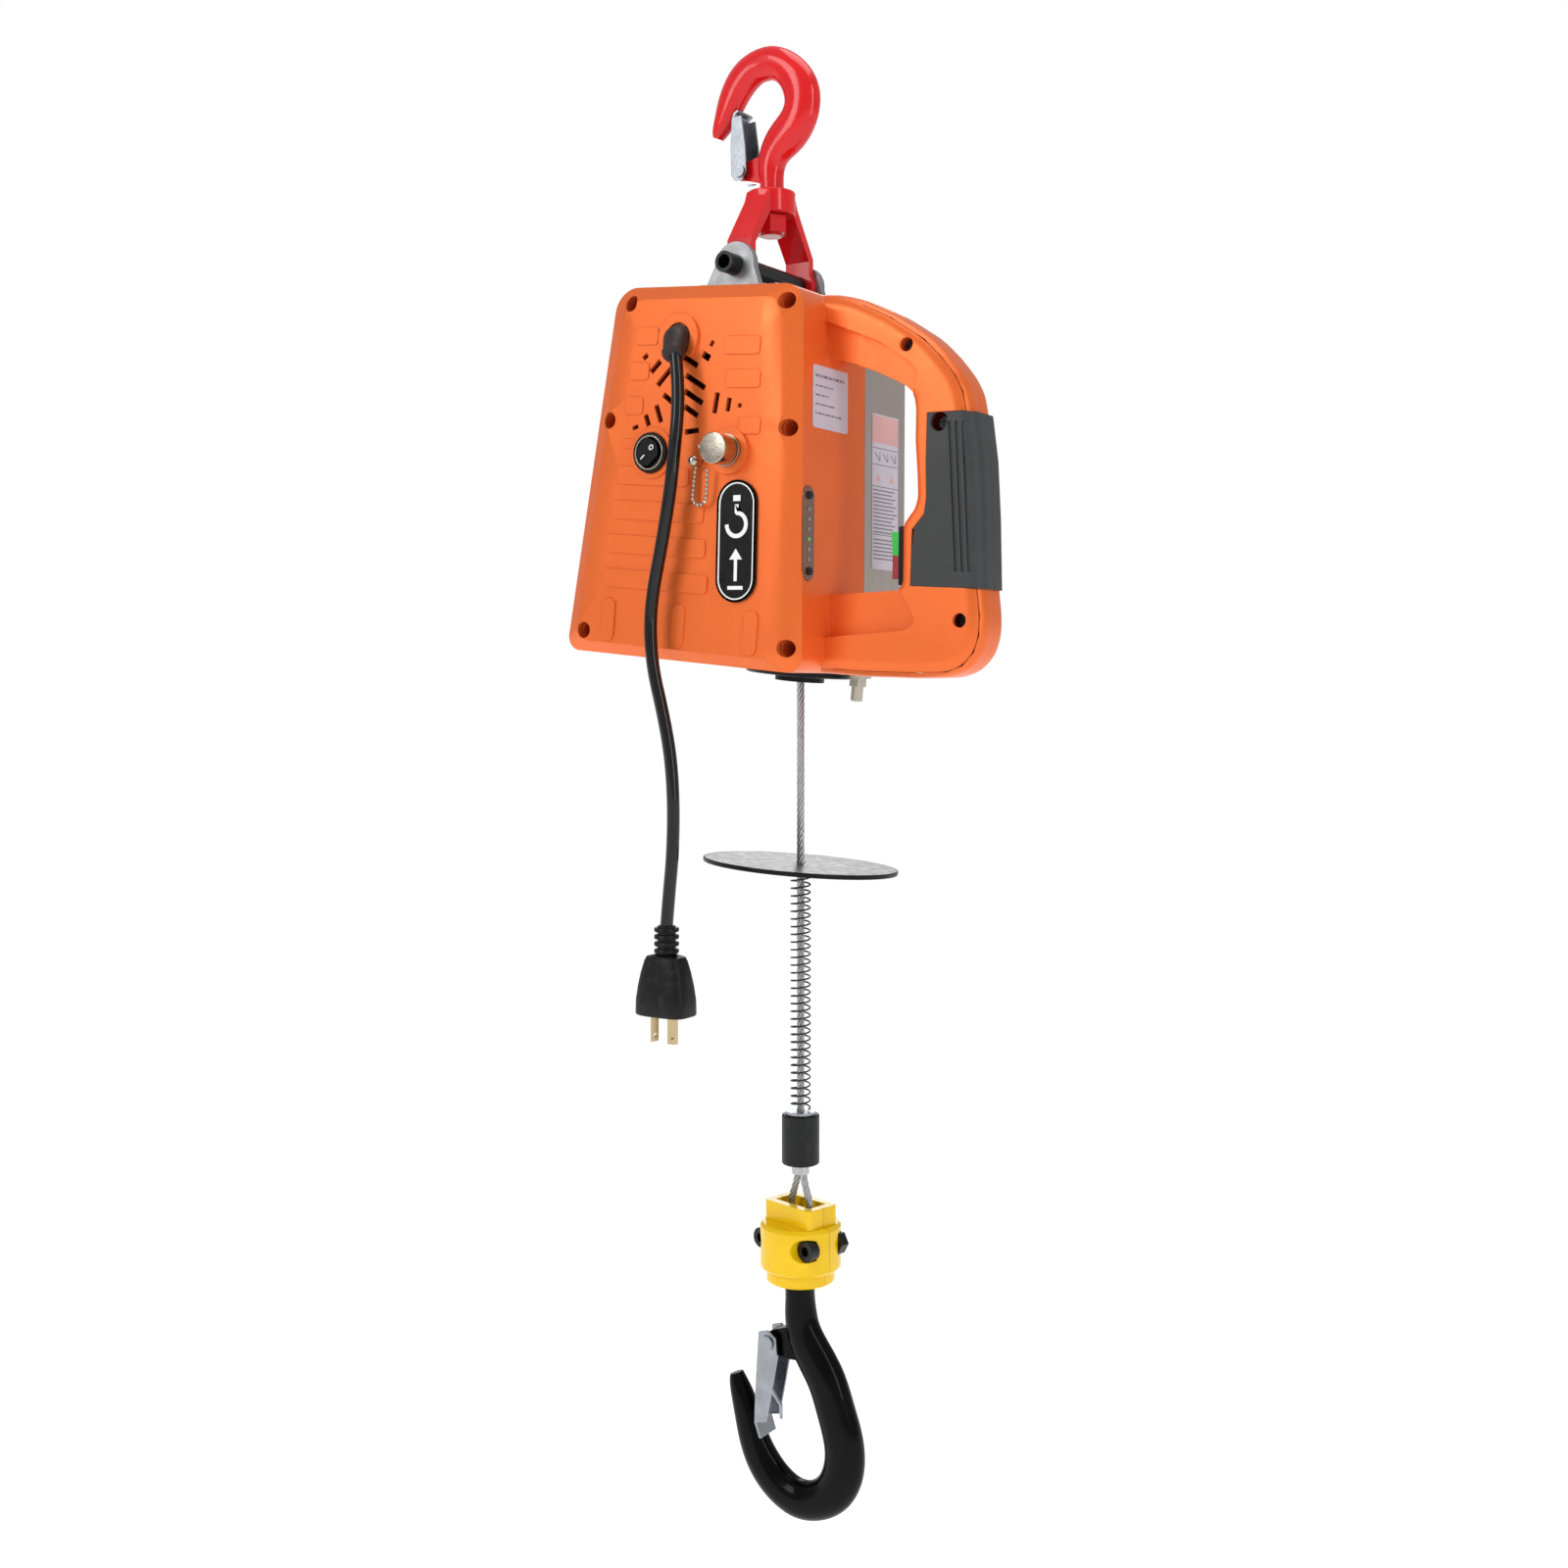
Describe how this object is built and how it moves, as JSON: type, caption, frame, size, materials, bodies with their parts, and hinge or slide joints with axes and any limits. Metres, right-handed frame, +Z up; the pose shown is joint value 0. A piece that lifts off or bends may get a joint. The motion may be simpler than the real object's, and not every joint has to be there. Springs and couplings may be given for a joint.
{
  "type": "electric wire rope hoist",
  "caption": "Portable electric wire rope hoist with D-shaped handle, hanging hook, rope limit disc, buffer spring and weighted hook block.",
  "frame": {"origin": "saddle of the top hook, where it hangs, on the hook's shank axis", "axes": "+Z up along the hanging line, -Y out of the front face with the mains cord, +X towards the carrying handle"},
  "size_m": [0.2838, 0.182, 0.9485],
  "materials": {
    "hook_red": "glossy red enamel",
    "zinc": "bright zinc plate",
    "black_steel": "black oxide",
    "spring_steel": "spring steel",
    "orange_plastic": "satin moulded nylon",
    "grip_rubber": "soft grip",
    "black_plastic": "gloss black",
    "window": "smoked lens",
    "green_plastic": "green button",
    "red_plastic": "red button",
    "cord_rubber": "black cord",
    "nickel": "nickel plate",
    "label": "printed film",
    "steel_plate": "drum housing plate",
    "drive_steel": "machined steel",
    "laminations": "stator pack and windings",
    "board": "circuit board",
    "fan_plastic": "moulded fan",
    "rope_wire": "galvanised wire rope",
    "disc_black": "gloss black enamel",
    "sleeve_rubber": "moulded rubber",
    "block_yellow": "gloss yellow enamel",
    "hook_black": "gloss black enamel",
    "brass_pins": "brass"
  },
  "bodies": {
    "hook_body": {"top_hook": "hook_red", "top_hook_nut": "hook_red", "top_latch_rivet": "zinc", "top_latch_spring": "spring_steel"},
    "top_latch_body": {"top_latch": "zinc"},
    "yoke": {"hanger_yoke": "hook_red"},
    "hoist": {"suspension_pin": "black_steel", "hanger_bracket": "zinc", "top_plate": "black_steel", "bracket_bolts": "zinc", "front_cover": "orange_plastic", "handle_rear": "orange_plastic", "grip_front": "grip_rubber", "grip_rear": "grip_rubber", "housing_screws": "black_steel", "lamp_window": "window", "switch_base": "black_plastic", "strain_relief": "cord_rubber", "power_cord": "cord_rubber", "plug_body": "cord_rubber", "plug_prongs": "brass_pins", "rocker_bezel": "black_plastic", "remote_socket": "nickel", "cap_chain": "nickel", "name_plate": "black_plastic", "side_labels": "label", "drum_guard": "steel_plate", "rear_plate": "steel_plate", "mid_plate": "steel_plate", "tie_rods": "drive_steel", "exit_guide": "black_plastic", "plunger_bushing": "nickel", "drum_bearing": "drive_steel", "ring_gear_housing": "drive_steel", "motor_stator": "laminations", "control_board": "board"},
    "rocker": {"power_rocker": "black_plastic"},
    "direction": {"button_up": "green_plastic", "button_down": "red_plastic"},
    "plunger": {"limit_plunger": "nickel"},
    "cap": {"socket_cap": "nickel"},
    "drum": {"rope_drum": "drive_steel", "rope_wound": "rope_wire", "planet_carrier": "drive_steel"},
    "rotor": {"motor_rotor": "drive_steel", "cooling_fan": "fan_plastic"},
    "load": {"wire_rope": "rope_wire", "rope_ferrule": "drive_steel", "spring_washer": "zinc", "rubber_sleeve": "sleeve_rubber", "block_half_front": "block_yellow", "block_half_rear": "block_yellow", "block_bolts": "zinc", "buffer_spring": "spring_steel"},
    "disc": {"limit_disc": "disc_black"},
    "lower_hook_body": {"lower_hook": "hook_black", "lower_hook_nut": "drive_steel", "lower_latch_rivet": "zinc", "lower_latch_spring": "spring_steel"},
    "lower_latch_body": {"lower_latch": "zinc"}
  },
  "joints": [
    {"name": "hook_swivel", "type": "hinge", "parent": "hook_body", "child": "yoke", "pos_m": [0, 0, -0.08], "axis": [0, 0, 1], "continuous": true},
    {"name": "hanger_swing", "type": "hinge", "parent": "yoke", "child": "hoist", "pos_m": [0, 0, -0.1255], "axis": [0, 1, 0], "range_deg": [-12, 12]},
    {"name": "top_latch_hinge", "type": "hinge", "parent": "hook_body", "child": "top_latch_body", "pos_m": [-0.0188, 0, -0.0565], "axis": [0, 1, 0], "range_deg": [0, 14], "stiffness_Nm_per_rad": 0.03, "springref_deg": -17.19},
    {"name": "rope_lift", "type": "slide", "parent": "hoist", "child": "load", "axis": [0, 0, 1], "range_m": [-0.12, 0.1]},
    {"name": "drum_spin", "type": "hinge", "parent": "hoist", "child": "drum", "pos_m": [-0.03288, 0, -0.24791], "axis": [0, 1, 0], "range_deg": [-190, 190]},
    {"name": "rotor_spin", "type": "hinge", "parent": "hoist", "child": "rotor", "pos_m": [-0.03288, 0, -0.24791], "axis": [0, 1, 0], "range_deg": [-760, 760]},
    {"name": "disc_slide", "type": "slide", "parent": "load", "child": "disc", "axis": [0, 0, 1], "range_m": [-0.1, 0], "stiffness_N_per_m": 80, "springref_m": 0.05, "deforming": ["buffer_spring"]},
    {"name": "lower_hook_swivel", "type": "hinge", "parent": "load", "child": "lower_hook_body", "pos_m": [0.0044, 0.028, -0.76], "axis": [0, 0, 1], "continuous": true},
    {"name": "lower_latch_hinge", "type": "hinge", "parent": "lower_hook_body", "child": "lower_latch_body", "pos_m": [-0.0159, 0.028, -0.814], "axis": [0, -1, 0], "range_deg": [0, 26], "stiffness_Nm_per_rad": 0.05, "springref_deg": -17.19},
    {"name": "power_rocker_tilt", "type": "hinge", "parent": "hoist", "child": "rocker", "pos_m": [-0.04333, -0.0696, -0.24168], "axis": [0.6361, 0, -0.7716], "range_deg": [-5, 5]},
    {"name": "direction_rocker_tilt", "type": "hinge", "parent": "hoist", "child": "direction", "pos_m": [0.11013, -0.019, -0.3089], "axis": [0, 1, 0], "range_deg": [-5, 5], "stiffness_Nm_per_rad": 0.1},
    {"name": "limit_plunger_press", "type": "slide", "parent": "hoist", "child": "plunger", "axis": [0.0958, 0, 0.9954], "range_m": [0, 0.005], "stiffness_N_per_m": 300, "springref_m": -0.004},
    {"name": "socket_cap_pull", "type": "slide", "parent": "hoist", "child": "cap", "axis": [0, -1, 0], "range_m": [0, 0.012]}
  ],
  "couplings": [
    {"joint": "drum_spin", "follows": "rope_lift", "rad_per_m": -26.81},
    {"joint": "rotor_spin", "follows": "rope_lift", "rad_per_m": -107.24}
  ]
}
